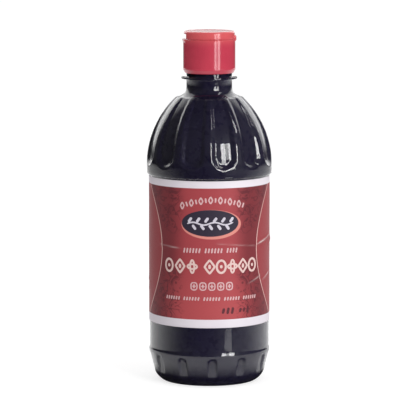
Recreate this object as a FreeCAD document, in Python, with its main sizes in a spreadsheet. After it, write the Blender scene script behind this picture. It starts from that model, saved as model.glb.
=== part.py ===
"""Half-litre soy sauce bottle: a clear fluted bottle, the sauce in it, its wrap label and its flip-top cap.

Millimetres, +Z up, origin at the middle of the foot's underside.  The front of the label faces -Y, the thumb
recess of the cap -X and its hinge +X.  Every driving dimension is a cell of the Sizes sheet, and what follows
from them is a formula cell there; every sketch, cutter and boolean below is bound to those cells.
"""
import FreeCAD, Part
import math
import os

import Sketcher

DRIVING_SIZES = {
    # bottle: heights of its stretches, from the foot up
    "heel_height": 6.2,
    "base_rise": 8.45,
    "lip_slope": 1.95,
    "lip_width": 1.4,
    "lip_flare": 1.9,
    "panel_height": 94.8,
    "skirt_height": 5.2,
    "dome_height": 37.1,
    "shoulder_rise": 0.4,
    "neck_height": 9.7,
    "ring_thickness": 1.1,
    # bottle: panel and neck radii, and how far the other radii lie in or out from them
    "panel_radius": 33.1,
    "skirt_step": 1.35,
    "lip_step": 0.4,
    "base_step": 0.2,
    "base_taper": 2.2,
    "heel_reach": 5.1,
    "foot_width": 4.6,
    "neck_radius": 12.55,
    "cove_reach": 5.05,
    "shoulder_edge": 0.8,
    "ring_reach": 2.82,
    # bottle: curves, small steps and walls
    "push_up": 4.0,
    "heel_curve": 9.55,
    "skirt_rounding": 0.8,
    "ring_taper": 0.35,
    "wall": 0.5,
    "foot_wall": 0.9,
    "step_wall": 0.75,
    "neck_wall": 1.7,
    # shoulder flutes and base arches
    "flute_count": 12,
    "flute_phase": 14.0,
    "flute_tube": 14.5,
    "flute_depth": 1.85,
    "flute_top_depth": 0.5,
    "flute_runout": 3.0,
    "arch_phase": 3.0,
    "arch_tube": 5.4,
    "arch_depth": 1.0,
    "arch_gap": 0.4,
    "arch_slope": 8.0,
    # sauce: how far its level stands up inside the cap
    "level_in_cap": 0.9,
    # label
    "label_rise": 13.5,
    "label_drop": 0.8,
    "label_thickness": 0.3,
    "label_clearance": 0.05,
    # cap
    "cap_gap": 2.1,
    "cap_height": 23.0,
    "cap_clearance": 0.05,
    "cap_wall": 1.67,
    "cap_bevel": 0.82,
    "lid_height": 4.3,
    "lid_setback": 0.32,
    "lid_depth": 7.3,
    "cap_top_rounding": 1.1,
    "bead_rise": 2.2,
    "bead_half_width": 0.4,
    "bead_relief": 0.18,
    "seam_width": 0.35,
    "seam_depth": 0.4,
    "thumb_angle": 48.0,
    "thumb_recess_depth": 1.45,
    "thumb_recess_height": 2.9,
    "thumb_recess_lip": 0.5,
    "thumb_ledge_reach": 0.75,
    "thumb_ledge_height": 1.8,
    "hinge_angle": 26.0,
    "hinge_reach": 0.6,
    "hinge_below_seam": 1.4,
    "hinge_above_seam": 2.2,
    "hinge_slope": 0.6,
    # how far a cutter reaches past what it cuts
    "overrun": 6.0,
}

# Heights above the foot and radii that follow from the driving sizes, so that fitted pieces move together.
DERIVED_SIZES = {
    "base_height": "heel_height + base_rise",
    "lip_start": "base_height + lip_slope",
    "lip_end": "lip_start + lip_width",
    "panel_start": "lip_end + lip_flare",
    "panel_end": "panel_start + panel_height",
    "skirt_end": "panel_end + skirt_height",
    "dome_top": "skirt_end + dome_height",
    "cove_start": "dome_top + shoulder_rise",
    "ring_underside": "cove_start + neck_height",
    "ring_top": "ring_underside + ring_thickness",
    "cap_bottom": "ring_top + cap_gap",
    "cap_top": "cap_bottom + cap_height",
    "mouth_height": "cap_top - lid_depth",
    "seam_height": "cap_top - lid_height",
    "bead_height": "cap_bottom + bead_rise",
    "sauce_level": "cap_bottom + level_in_cap",
    "label_bottom": "panel_start + label_rise",
    "label_top": "panel_end - label_drop",
    "arch_top": "lip_start - arch_gap",
    "skirt_radius": "panel_radius + skirt_step",
    "lip_radius": "panel_radius + lip_step",
    "base_radius": "panel_radius - base_step",
    "heel_radius": "base_radius - base_taper",
    "foot_radius": "heel_radius - heel_reach",
    "foot_inner_radius": "foot_radius - foot_width",
    "cove_outer_radius": "neck_radius + cove_reach",
    "dome_top_radius": "cove_outer_radius + shoulder_edge",
    "ring_radius": "neck_radius + ring_reach",
    "bore_radius": "neck_radius - neck_wall",
    "label_inner_radius": "panel_radius + label_clearance",
    "socket_radius": "neck_radius + cap_clearance",
    "cap_radius": "socket_radius + cap_wall",
    "cap_rim_radius": "cap_radius - cap_bevel",
    "lid_radius": "cap_radius - lid_setback",
    "thumb_recess_radius": "lid_radius - thumb_recess_depth",
}

# Radius of the dome's arc, which leaves the skirt upright and ends at the dome's top edge.
DOME_CURVE = (
    "((Sizes.skirt_radius - Sizes.dome_top_radius)^2 + (Sizes.dome_top - Sizes.skirt_end)^2)"
    " / (2 * (Sizes.skirt_radius - Sizes.dome_top_radius))"
)
# How far round that arc the dome's top edge lies, in degrees above level.
DOME_TOP_ANGLE = f"asin((Sizes.dome_top - Sizes.skirt_end) / ({DOME_CURVE}))"
# The flutes' floor is the same arc moved in by the flute depth and up, so that it is shallow at the top.
FLUTE_LIFT = (
    f"(Sizes.flute_depth * cos({DOME_TOP_ANGLE}) - Sizes.flute_top_depth) / sin({DOME_TOP_ANGLE})"
)
FLUTE_CENTRE_RADIUS = f"(Sizes.skirt_radius - {DOME_CURVE} - Sizes.flute_depth)"
FLUTE_CENTRE_HEIGHT = f"(Sizes.skirt_end + {FLUTE_LIFT})"
FLUTE_PATH_RADIUS = f"({DOME_CURVE} + Sizes.flute_tube)"


def half_width(tube, depth):
    """Expression for half the width of the groove that a tube of that radius cuts at that depth."""
    return f"sqrt(2 * {tube} * {depth} - {depth}^2)"


# Where the flutes' rounded lower ends are centred, in degrees above level on their path.
FLUTE_START_ANGLE = (
    f"asin((Sizes.skirt_end + {half_width('Sizes.flute_tube', 'Sizes.flute_depth')}"
    f" - {FLUTE_CENTRE_HEIGHT}) / {FLUTE_PATH_RADIUS})"
)
ARCH_CENTRE_HEIGHT = f"(Sizes.arch_top - {half_width('Sizes.arch_tube', 'Sizes.arch_depth')})"
ARCH_CENTRE_RADIUS = "(Sizes.base_radius - Sizes.arch_depth + Sizes.arch_tube)"

# The walls between the outside and the inside: body, foot, step under the skirt, and the radius of the neck.
OUTSIDE = {"wall": "0", "foot_wall": "0", "step_wall": "0", "neck": "Sizes.neck_radius"}
INSIDE = {
    "wall": "Sizes.wall",
    "foot_wall": "Sizes.foot_wall",
    "step_wall": "Sizes.step_wall",
    "neck": "Sizes.bore_radius",
}


doc = FreeCAD.newDocument("SoySauceBottle")
sizes = doc.addObject("Spreadsheet::Sheet", "Sizes")
cells = {alias: str(value) for alias, value in DRIVING_SIZES.items()}
cells.update({alias: f"={formula}" for alias, formula in DERIVED_SIZES.items()})
for row, (alias, content) in enumerate(cells.items(), start=1):
    sizes.set(f"A{row}", alias.replace("_", " "))
    sizes.setAlias(f"B{row}", alias)
    sizes.set(f"B{row}", content)
doc.recompute()


def value_of(expression):
    """The number that an expression on the sheet gives now."""
    result = sizes.evalExpression(expression)
    return float(getattr(result, "Value", result))


def origin_plane(body, role):
    """The body's own origin plane with that role, such as XZ_Plane."""
    return next(item for item in body.Origin.OriginFeatures if item.Role == role)


def origin_axis(body, role):
    """The body's own origin axis with that role, as a reference for a revolved feature."""
    return (origin_plane(body, role), [""])


def new_body(name, label):
    """An empty PartDesign body."""
    body = doc.addObject("PartDesign::Body", name)
    body.Label = label
    return body


def new_sketch(body, name, role):
    """A sketch on one of the body's own origin planes."""
    sketch = body.newObject("Sketcher::SketchObject", name)
    sketch.AttachmentSupport = (origin_plane(body, role), [""])
    sketch.MapMode = "FlatFace"
    return sketch


def arc_centre(start, end, radius, side):
    """Centre of the arc from start to end; side is +1 when it lies left of the chord, -1 when right."""
    chord = end - start
    rise = math.sqrt(radius ** 2 - (chord.Length / 2) ** 2)
    left = FreeCAD.Vector(-chord.y, chord.x, 0).normalize()
    return (start + end) / 2 + left * rise * side


def outline(sketch, corners):
    """Draw a closed outline and bind it to the sheet.

    Each corner is (across, up) or (across, up, radius, side): two or three expressions.  With a radius, the
    stretch that leaves the corner is an arc of that radius whose centre is on the given side.
    """
    count = len(corners)
    points = [FreeCAD.Vector(value_of(corner[0]), value_of(corner[1]), 0) for corner in corners]
    for index, corner in enumerate(corners):
        start = points[index]
        end = points[(index + 1) % count]
        if len(corner) == 2:
            sketch.addGeometry(Part.LineSegment(start, end), False)
            continue
        radius = value_of(corner[2])
        centre = arc_centre(start, end, radius, corner[3])
        first, last = (start, end) if corner[3] > 0 else (end, start)
        angles = [math.atan2(point.y - centre.y, point.x - centre.x) for point in (first, last)]
        circle = Part.Circle(centre, FreeCAD.Vector(0, 0, 1), radius)
        sketch.addGeometry(Part.ArcOfCircle(circle, angles[0], angles[1]), False)
    for index, corner in enumerate(corners):
        following = (index + 1) % count
        leaves_at = 2 if len(corner) == 2 or corner[3] > 0 else 1
        next_corner = corners[following]
        starts_at = 1 if len(next_corner) == 2 or next_corner[3] > 0 else 2
        sketch.addConstraint(Sketcher.Constraint("Coincident", index, leaves_at, following, starts_at))
    for index, corner in enumerate(corners):
        at = 1 if len(corner) == 2 or corner[3] > 0 else 2
        for kind, expression, number in (
            ("DistanceX", corner[0], points[index].x),
            ("DistanceY", corner[1], points[index].y),
        ):
            made = sketch.addConstraint(Sketcher.Constraint(kind, -1, 1, index, at, number))
            sketch.setExpression(f"Constraints[{made}]", expression)
        if len(corner) == 4:
            made = sketch.addConstraint(Sketcher.Constraint("Radius", index, value_of(corner[2])))
            sketch.setExpression(f"Constraints[{made}]", corner[2])


def revolved(body, name, corners, kind="Revolution", angle="360"):
    """Revolve an outline of the XZ plane about Z, in full or by an angle split evenly to both sides."""
    sketch = new_sketch(body, f"{name}Sketch", "XZ_Plane")
    outline(sketch, corners)
    feature = body.newObject(f"PartDesign::{kind}", name)
    feature.Profile = sketch
    feature.ReferenceAxis = origin_axis(body, "Z_Axis")
    feature.Midplane = True
    feature.setExpression("Angle", angle)
    doc.recompute()
    return feature


def polar_pattern(body, name, original):
    """Repeat a feature evenly about Z, once for each flute, and make the pattern the body's tip."""
    pattern = body.newObject("PartDesign::PolarPattern", name)
    pattern.Originals = [original]
    pattern.Axis = origin_axis(body, "Z_Axis")
    pattern.Angle = 360
    pattern.setExpression("Occurrences", "Sizes.flute_count")
    body.Tip = pattern
    doc.recompute()


def place(item, radius, height, yaw, pitch="0", roll="0"):
    """Bind an attached item's place: out from Z by the radius at angle yaw from +X, up, then turned."""
    across = f"vector({radius} * cos({yaw}); {radius} * sin({yaw}); {height})"
    item.setExpression("AttachmentOffset", f"placement({across}; rotation({yaw}; {pitch}; {roll}))")


def bottle_profile(wall, foot_wall, step_wall, neck):
    """Half outline of the bottle's body, moved in by its walls; with no walls it is the outside.

    Underside dome, foot, heel arc, base, lip, label panel, skirt and the dome's arc; then the cove's arc up
    into the neck.
    """
    underside_curve = "(Sizes.foot_inner_radius^2 + Sizes.push_up^2) / (2 * Sizes.push_up)"
    cove = f"(Sizes.cove_outer_radius - {neck})"
    panel = f"Sizes.panel_radius - {wall}"
    skirt = f"Sizes.skirt_radius - {wall}"
    step = f"Sizes.panel_end + {step_wall}"
    cove_start = f"Sizes.cove_start - {wall}"
    return [
        ("0", f"Sizes.push_up + {foot_wall}", underside_curve, -1),
        ("Sizes.foot_inner_radius", foot_wall),
        ("Sizes.foot_radius", foot_wall, "Sizes.heel_curve", 1),
        (f"Sizes.heel_radius - {wall}", "Sizes.heel_height"),
        (f"Sizes.base_radius - {wall}", "Sizes.base_height"),
        (f"Sizes.lip_radius - {wall}", "Sizes.lip_start"),
        (f"Sizes.lip_radius - {wall}", "Sizes.lip_end"),
        (panel, "Sizes.panel_start"),
        (panel, step),
        (f"{skirt} - Sizes.skirt_rounding", step, "Sizes.skirt_rounding", 1),
        (skirt, f"{step} + Sizes.skirt_rounding"),
        (skirt, "Sizes.skirt_end", f"{DOME_CURVE} - {wall}", 1),
        (
            f"Sizes.dome_top_radius - {wall} * cos({DOME_TOP_ANGLE})",
            f"Sizes.dome_top - {wall} * sin({DOME_TOP_ANGLE})",
        ),
        ("Sizes.cove_outer_radius", cove_start, cove, -1),
        (neck, f"{cove_start} + {cove}"),
        (neck, "Sizes.mouth_height"),
        ("0", "Sizes.mouth_height"),
    ]


def cut_flutes(body, wall):
    """Cut the shoulder flutes: a tube swept along an arc inside the dome's, with a ball at its lower end."""
    sketch = new_sketch(body, "FluteSketch", "XY_Plane")
    place(sketch, FLUTE_CENTRE_RADIUS, FLUTE_CENTRE_HEIGHT, "Sizes.flute_phase", f"-{FLUTE_START_ANGLE}")
    centre = FreeCAD.Vector(value_of(FLUTE_PATH_RADIUS), 0, 0)
    tube = f"Sizes.flute_tube + {wall}"
    sketch.addGeometry(Part.Circle(centre, FreeCAD.Vector(0, 0, 1), value_of(tube)), False)
    sketch.addConstraint(Sketcher.Constraint("PointOnObject", 0, 3, -1))
    sketch.addConstraint(Sketcher.Constraint("DistanceX", -1, 1, 0, 3, centre.x))
    sketch.setExpression("Constraints[1]", FLUTE_PATH_RADIUS)
    sketch.addConstraint(Sketcher.Constraint("Radius", 0, value_of(tube)))
    sketch.setExpression("Constraints[2]", tube)
    doc.recompute()
    sweep = body.newObject("PartDesign::Groove", "FluteSweep")
    sweep.Profile = sketch
    sweep.ReferenceAxis = (sketch, ["V_Axis"])
    sweep.Reversed = True
    sweep.setExpression("Angle", f"{DOME_TOP_ANGLE} + Sizes.flute_runout * 1 deg - {FLUTE_START_ANGLE}")
    doc.recompute()
    polar_pattern(body, "FluteSweeps", sweep)
    end = body.newObject("PartDesign::SubtractiveSphere", "FluteEnd")
    end.AttachmentSupport = (origin_plane(body, "XY_Plane"), [""])
    end.MapMode = "FlatFace"
    end.setExpression("Radius", tube)
    place(
        end,
        f"({FLUTE_CENTRE_RADIUS} + {FLUTE_PATH_RADIUS} * cos({FLUTE_START_ANGLE}))",
        f"{FLUTE_CENTRE_HEIGHT} + {FLUTE_PATH_RADIUS} * sin({FLUTE_START_ANGLE})",
        "Sizes.flute_phase",
    )
    doc.recompute()
    polar_pattern(body, "FluteEnds", end)


def cut_arches(body, wall):
    """Cut the arches round the base: a leaning rod with a rounded top, which runs out at the heel."""
    tube = f"Sizes.arch_tube + {wall}"
    bottom = "-(Sizes.base_height + Sizes.overrun)"
    sketch = new_sketch(body, "ArchSketch", "XY_Plane")
    place(sketch, ARCH_CENTRE_RADIUS, ARCH_CENTRE_HEIGHT, "Sizes.arch_phase", "Sizes.arch_slope", "90")
    outline(sketch, [("0", tube, tube, -1), (tube, "0"), (tube, bottom), ("0", bottom)])
    rod = body.newObject("PartDesign::Groove", "ArchRod")
    rod.Profile = sketch
    rod.ReferenceAxis = (sketch, ["V_Axis"])
    rod.Angle = 360
    doc.recompute()
    polar_pattern(body, "Arches", rod)


def bottle_form(name, label, walls):
    """The bottle's body of revolution with its flutes and arches, moved in by its walls."""
    body = new_body(name, label)
    revolved(body, "Turned", bottle_profile(**walls))
    cut_flutes(body, walls["wall"])
    cut_arches(body, walls["wall"])
    return body


def make_bottle():
    """The clear bottle: its outside form with the support ring, less its inside form."""
    outside = bottle_form("Outside", "bottle outside", OUTSIDE)
    revolved(
        outside,
        "SupportRing",
        [
            ("Sizes.bore_radius", "Sizes.ring_underside - Sizes.ring_taper"),
            ("Sizes.neck_radius", "Sizes.ring_underside - Sizes.ring_taper"),
            ("Sizes.ring_radius", "Sizes.ring_underside"),
            ("Sizes.ring_radius", "Sizes.ring_top"),
            ("Sizes.bore_radius", "Sizes.ring_top"),
        ],
    )
    inside = bottle_form("Inside", "bottle inside", INSIDE)
    bottle = doc.addObject("Part::Cut", "Bottle")
    bottle.Base = outside
    bottle.Tool = inside
    bottle.Label = "bottle"
    return bottle, inside


def make_sauce(inside):
    """The sauce: the bottle's inside form up to the sauce's level."""
    level = doc.addObject("Part::Cylinder", "BelowLevel")
    level.setExpression("Radius", "Sizes.skirt_radius + Sizes.overrun")
    level.setExpression("Height", "Sizes.sauce_level")
    sauce = doc.addObject("Part::Common", "Sauce")
    sauce.Base = inside
    sauce.Tool = level
    sauce.Label = "soy_sauce"
    return sauce


def make_label():
    """The wrap label: a thin sleeve round the bottle's panel."""
    label = new_body("WrapLabel", "label")
    inner = "Sizes.label_inner_radius"
    outer = f"{inner} + Sizes.label_thickness"
    revolved(
        label,
        "Sleeve",
        [
            (inner, "Sizes.label_bottom"),
            (outer, "Sizes.label_bottom"),
            (outer, "Sizes.label_top"),
            (inner, "Sizes.label_top"),
        ],
    )
    return label


def make_cap():
    """The flip-top cap, one moulding: turned form with its socket, thumb ledge, thumb recess and hinge."""
    cap = new_body("Cap", "cap")
    socket = "Sizes.socket_radius"
    below_seam = "Sizes.seam_height - Sizes.seam_width / 2"
    above_seam = "Sizes.seam_height + Sizes.seam_width / 2"
    revolved(
        cap,
        "CapTurned",
        [
            (socket, "Sizes.cap_bottom"),
            ("Sizes.cap_rim_radius", "Sizes.cap_bottom"),
            ("Sizes.cap_radius", "Sizes.bead_height - Sizes.bead_half_width"),
            ("Sizes.cap_radius + Sizes.bead_relief", "Sizes.bead_height"),
            ("Sizes.cap_radius", "Sizes.bead_height + Sizes.bead_half_width"),
            ("Sizes.cap_radius", below_seam),
            ("Sizes.lid_radius - Sizes.seam_depth", below_seam),
            ("Sizes.lid_radius - Sizes.seam_depth", above_seam),
            ("Sizes.lid_radius", above_seam),
            ("Sizes.lid_radius", "Sizes.cap_top - Sizes.cap_top_rounding", "Sizes.cap_top_rounding", 1),
            ("Sizes.lid_radius - Sizes.cap_top_rounding", "Sizes.cap_top"),
            ("0", "Sizes.cap_top"),
            ("0", "Sizes.mouth_height"),
            (socket, "Sizes.mouth_height"),
        ],
    )
    ledge_foot = f"{below_seam} - Sizes.thumb_ledge_height"
    revolved(
        cap,
        "ThumbLedge",
        [
            (f"-{socket}", ledge_foot),
            (f"-{socket}", below_seam),
            ("-(Sizes.cap_radius + Sizes.thumb_ledge_reach)", below_seam),
            ("-Sizes.cap_radius", ledge_foot),
        ],
        angle="Sizes.thumb_angle",
    )
    beyond = "-(Sizes.cap_radius + Sizes.overrun)"
    recess_top = f"{below_seam} + Sizes.thumb_recess_height"
    revolved(
        cap,
        "ThumbRecess",
        [
            ("-Sizes.thumb_recess_radius", below_seam),
            ("-Sizes.thumb_recess_radius", f"{recess_top} - Sizes.thumb_recess_lip"),
            ("-Sizes.lid_radius", recess_top),
            (beyond, recess_top),
            (beyond, below_seam),
        ],
        kind="Groove",
        angle="Sizes.thumb_angle",
    )
    hinge_outer = "Sizes.cap_radius + Sizes.hinge_reach"
    hinge_foot = "Sizes.seam_height - Sizes.hinge_below_seam"
    hinge_head = "Sizes.seam_height + Sizes.hinge_above_seam"
    revolved(
        cap,
        "Hinge",
        [
            (socket, hinge_foot),
            ("Sizes.cap_radius", hinge_foot),
            (hinge_outer, f"{hinge_foot} + Sizes.hinge_slope"),
            (hinge_outer, f"{hinge_head} - Sizes.hinge_slope"),
            ("Sizes.lid_radius", hinge_head),
            (socket, hinge_head),
        ],
        angle="Sizes.hinge_angle",
    )
    return cap


def check_document(pieces):
    """Stop if any object failed to build or any piece isn't one valid solid."""
    for item in doc.Objects:
        if {"Invalid", "Error"} & set(item.State):
            raise RuntimeError(f"{item.Name} failed: {item.State}")
    for piece in pieces:
        shape = piece.Shape
        if shape.isNull() or not shape.isValid() or len(shape.Solids) != 1:
            raise RuntimeError(f"{piece.Label} isn't one valid solid")


def main():
    """Build every piece, check it and write it to parts/."""
    bottle, inside = make_bottle()
    pieces = [bottle, make_sauce(inside), make_label(), make_cap()]
    doc.recompute()
    check_document(pieces)
    os.makedirs("parts", exist_ok=True)
    for piece in pieces:
        piece.Shape.exportStep(f"parts/{piece.Label}.step")
        box = piece.Shape.optimalBoundingBox()
        print(
            f"{piece.Label}: {piece.Shape.Volume / 1000:.2f} ml,"
            f" {box.XLength:.2f} x {box.YLength:.2f} x {box.ZLength:.2f} mm,"
            f" {box.ZMin:.2f} to {box.ZMax:.2f} mm up"
        )


main()
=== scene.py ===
"""Half-litre soy sauce bottle: the looks of the clear bottle, the sauce, the wrap label and the flip-top cap.

Metres, +Z up, origin at the middle of the foot's underside.  The front of the label faces -Y, the cap's thumb
recess -X and its hinge +X.  Shapes are worked out in millimetres and turned into metres when a mesh is made.
"""
import math

import bpy
import numpy as np
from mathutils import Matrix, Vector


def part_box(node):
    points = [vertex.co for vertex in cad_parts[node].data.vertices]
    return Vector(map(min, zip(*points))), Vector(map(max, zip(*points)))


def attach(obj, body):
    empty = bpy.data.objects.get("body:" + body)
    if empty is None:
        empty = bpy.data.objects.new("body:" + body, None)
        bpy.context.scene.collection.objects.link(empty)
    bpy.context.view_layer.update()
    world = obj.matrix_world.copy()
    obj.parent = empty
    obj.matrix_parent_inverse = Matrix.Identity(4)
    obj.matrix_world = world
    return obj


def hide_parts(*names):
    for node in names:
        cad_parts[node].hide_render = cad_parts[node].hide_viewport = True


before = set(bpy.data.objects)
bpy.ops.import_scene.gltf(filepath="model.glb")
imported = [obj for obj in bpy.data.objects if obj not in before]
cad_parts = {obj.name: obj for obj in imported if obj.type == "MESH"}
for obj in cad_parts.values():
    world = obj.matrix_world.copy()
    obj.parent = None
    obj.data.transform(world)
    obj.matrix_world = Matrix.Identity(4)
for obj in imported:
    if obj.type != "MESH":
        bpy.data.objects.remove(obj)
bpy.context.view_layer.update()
MM = 0.001

bottle_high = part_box("bottle")[1]
label_low, label_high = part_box("label")
cap_low, cap_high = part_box("cap")
sauce_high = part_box("soy_sauce")[1]

# Heights and radii in millimetres that come straight from the frame.
SKIRT_RADIUS = bottle_high.x / MM
MOUTH_HEIGHT = bottle_high.z / MM
LABEL_BOTTOM = label_low.z / MM
LABEL_TOP = label_high.z / MM
LABEL_RADIUS = label_high.x / MM
CAP_BOTTOM = cap_low.z / MM
CAP_TOP = cap_high.z / MM
CAP_RADIUS = cap_high.y / MM - 0.13
SAUCE_LEVEL = sauce_high.z / MM

# The bottle's other sizes.
PANEL_RADIUS = SKIRT_RADIUS - 1.35
NECK_RADIUS = 12.55
SKIRT_END = 119.9
DOME_TOP = 157.0
DOME_TOP_RADIUS = NECK_RADIUS + 5.85
COVE_START = DOME_TOP + 0.4
COVE_RADIUS = 5.05
RING_UNDERSIDE = 167.1
RING_TOP = RING_UNDERSIDE + 1.1
RING_RADIUS = NECK_RADIUS + 2.82
WALL = 0.5
NECK_WALL = 1.7
SAUCE_INTO_WALL = 0.15
FLUTES = 12
FLUTE_PHASE = 14.0
FLUTE_DEPTH = 1.85
FLUTE_LIFT = 1.05
FLUTE_HALF_ANGLE = 12.3
FLUTE_FLOOR_SHARE = 0.62
FLUTE_END_HEIGHT = 7.0
ARCH_PHASE = 3.0
ARCH_HALF_WIDTH = 3.15
ARCH_DEPTH = 1.0
ARCH_CENTRE_HEIGHT = 13.05
DOME_CURVE = ((SKIRT_RADIUS - DOME_TOP_RADIUS) ** 2 + (DOME_TOP - SKIRT_END) ** 2) / (
    2 * (SKIRT_RADIUS - DOME_TOP_RADIUS)
)


# ---------------------------------------------------------------- making surfaces


def smooth_step(low, high, value):
    """0 below low, 1 above high, and 3t^2 - 2t^3 between them."""
    t = np.clip((value - low) / (high - low), 0.0, 1.0)
    return t * t * (3.0 - 2.0 * t)


def arc(start, end, radius, side, steps):
    """Points of a circle's arc from start to end.

    The centre lies off the chord's middle by the root of radius squared less half the chord squared, to the
    left for side 1 and to the right for side -1.
    """
    start = np.array(start, float)
    end = np.array(end, float)
    chord = end - start
    half = np.hypot(*chord) / 2
    left = np.array([-chord[1], chord[0]]) / (2 * half)
    centre = (start + end) / 2 + left * side * math.sqrt(radius ** 2 - half ** 2)
    first = math.atan2(*(start - centre)[::-1])
    turn = 2 * math.asin(half / radius) * side
    angles = first + np.linspace(0, turn, steps)
    return centre + radius * np.stack([np.cos(angles), np.sin(angles)], axis=-1)


def resampled(corners, spacing):
    """Points at even spacing along the straight runs from corner to corner."""
    corners = np.asarray(corners, float)
    along = np.r_[0, np.cumsum(np.hypot(*np.diff(corners, axis=0).T))]
    places = np.linspace(0, along[-1], int(along[-1] / spacing) + 1)
    return np.stack([np.interp(places, along, corners[:, axis]) for axis in (0, 1)], axis=-1)


def softened(points, rounds):
    """Corners rounded: each point becomes half itself and a quarter of each neighbour, over and over."""
    for _ in range(rounds):
        between = 0.25 * points[:-2] + 0.5 * points[1:-1] + 0.25 * points[2:]
        points = np.concatenate([points[:1], between, points[-1:]])
    return points


def chosen_rows(outline, closeness, rows_per_turn):
    """Rows to keep: so many for each millimetre of outline, and so many for each radian that it bends."""
    step = np.diff(outline, axis=0)
    length = np.hypot(step[:, 0], step[:, 1])
    heading = np.unwrap(np.arctan2(step[:, 1], step[:, 0]))
    bend = np.abs(np.diff(heading, prepend=heading[0]))
    needed = np.r_[0, np.cumsum(length * closeness[1:] + bend * rows_per_turn)]
    wanted = np.linspace(0, needed[-1], int(needed[-1]) + 2)
    return np.unique(np.searchsorted(needed, wanted - 1e-9))


def outward(outline):
    """Unit normals to the right of an outline that climbs from the foot, which is away from the axis."""
    tangent = np.gradient(outline, axis=0)
    tangent /= np.maximum(np.hypot(tangent[:, 0], tangent[:, 1]), 1e-9)[:, None]
    return np.stack([tangent[:, 1], -tangent[:, 0]], axis=-1)


def turned(radius, height, angle):
    """Points of a form of revolution: radius times cosine and sine of the angle, and the height."""
    return np.stack([radius * np.cos(angle), radius * np.sin(angle), height + 0 * angle], axis=-1)


def grid_mesh(name, points, first_pole, last_pole, uv=None, loop_rows=False):
    """Mesh of a grid of points, rows by columns, in millimetres.

    The columns close on themselves, and the rows too for loop_rows.  A pole row is one point.  Faces are
    turned outwards by the sign of the volume that they hold.
    """
    rows, columns = points.shape[:2]
    index = np.arange(rows * columns).reshape(rows, columns)
    if first_pole:
        index[0, :] = index[0, 0]
    if last_pole:
        index[-1, :] = index[-1, 0]
    if loop_rows:
        index = np.concatenate([index, index[:1]])
    wrapped = np.concatenate([index, index[:, :1]], axis=1)
    quads = np.stack([wrapped[:-1, :-1], wrapped[:-1, 1:], wrapped[1:, 1:], wrapped[1:, :-1]], axis=-1)
    across = np.broadcast_to(np.arange(columns), quads.shape[:2])
    up = np.broadcast_to(np.arange(quads.shape[0])[:, None], quads.shape[:2])
    corners = np.stack(
        [
            np.stack([across, up], axis=-1),
            np.stack([across + 1, up], axis=-1),
            np.stack([across + 1, up + 1], axis=-1),
            np.stack([across, up + 1], axis=-1),
        ],
        axis=-2,
    )
    quads = quads.reshape(-1, 4)
    corners = corners.reshape(-1, 4, 2)
    flat = points.reshape(-1, 3)
    a, b, c, d = (flat[quads[:, corner]] for corner in range(4))
    volume = np.sum(a * np.cross(b, c)) + np.sum(a * np.cross(c, d))
    if volume < 0:
        quads = quads[:, ::-1]
        corners = corners[:, ::-1]
    used, remapped = np.unique(quads, return_inverse=True)
    remapped = remapped.reshape(quads.shape)
    keep = remapped != np.roll(remapped, 1, axis=1)
    sizes = keep.sum(axis=1)
    mesh = bpy.data.meshes.new(name)
    mesh.vertices.add(len(used))
    mesh.vertices.foreach_set("co", (flat[used] * MM).astype(np.float32).ravel())
    mesh.loops.add(int(sizes.sum()))
    mesh.loops.foreach_set("vertex_index", remapped[keep].astype(np.int32))
    mesh.polygons.add(len(sizes))
    mesh.polygons.foreach_set("loop_start", np.r_[0, np.cumsum(sizes)[:-1]].astype(np.int32))
    mesh.polygons.foreach_set("use_smooth", np.ones(len(sizes), bool))
    if uv is not None:
        layer = mesh.uv_layers.new(name="wrap")
        places = corners[keep]
        layer.data.foreach_set("uv", uv[places[:, 1], places[:, 0]].astype(np.float32).ravel())
    mesh.update(calc_edges=True)
    mesh.validate()
    piece = bpy.data.objects.new(name, mesh)
    bpy.context.scene.collection.objects.link(piece)
    return piece


def joined_strips(name, strips):
    """One mesh of many closed grids of points, each rows by columns, closed round and at both ends."""
    places = []
    faces = []
    offset = 0
    for strip, ring in strips:
        rows, columns = strip.shape[:2]
        index = np.arange(rows * columns).reshape(rows, columns) + offset
        looped = np.concatenate([index, index[:1]]) if ring else index
        wrapped = np.concatenate([looped, looped[:, :1]], axis=1)
        quads = np.stack(
            [wrapped[:-1, :-1], wrapped[:-1, 1:], wrapped[1:, 1:], wrapped[1:, :-1]], axis=-1
        ).reshape(-1, 4)
        flat = strip.reshape(-1, 3)
        a, b, c, d = (flat[quads[:, corner] - offset] - flat[0] for corner in range(4))
        volume = np.sum(a * np.cross(b, c)) + np.sum(a * np.cross(c, d))
        faces.extend((quads if volume > 0 else quads[:, ::-1]).tolist())
        if not ring:
            first, last = index[0].tolist(), index[-1].tolist()
            faces.append(first[::-1] if volume > 0 else first)
            faces.append(last if volume > 0 else last[::-1])
        places.append(flat)
        offset += rows * columns
    mesh = bpy.data.meshes.new(name)
    mesh.from_pydata((np.concatenate(places) * MM).tolist(), [], faces)
    mesh.update(calc_edges=True)
    piece = bpy.data.objects.new(name, mesh)
    bpy.context.scene.collection.objects.link(piece)
    return piece


# ---------------------------------------------------------------- bottle and sauce


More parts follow.
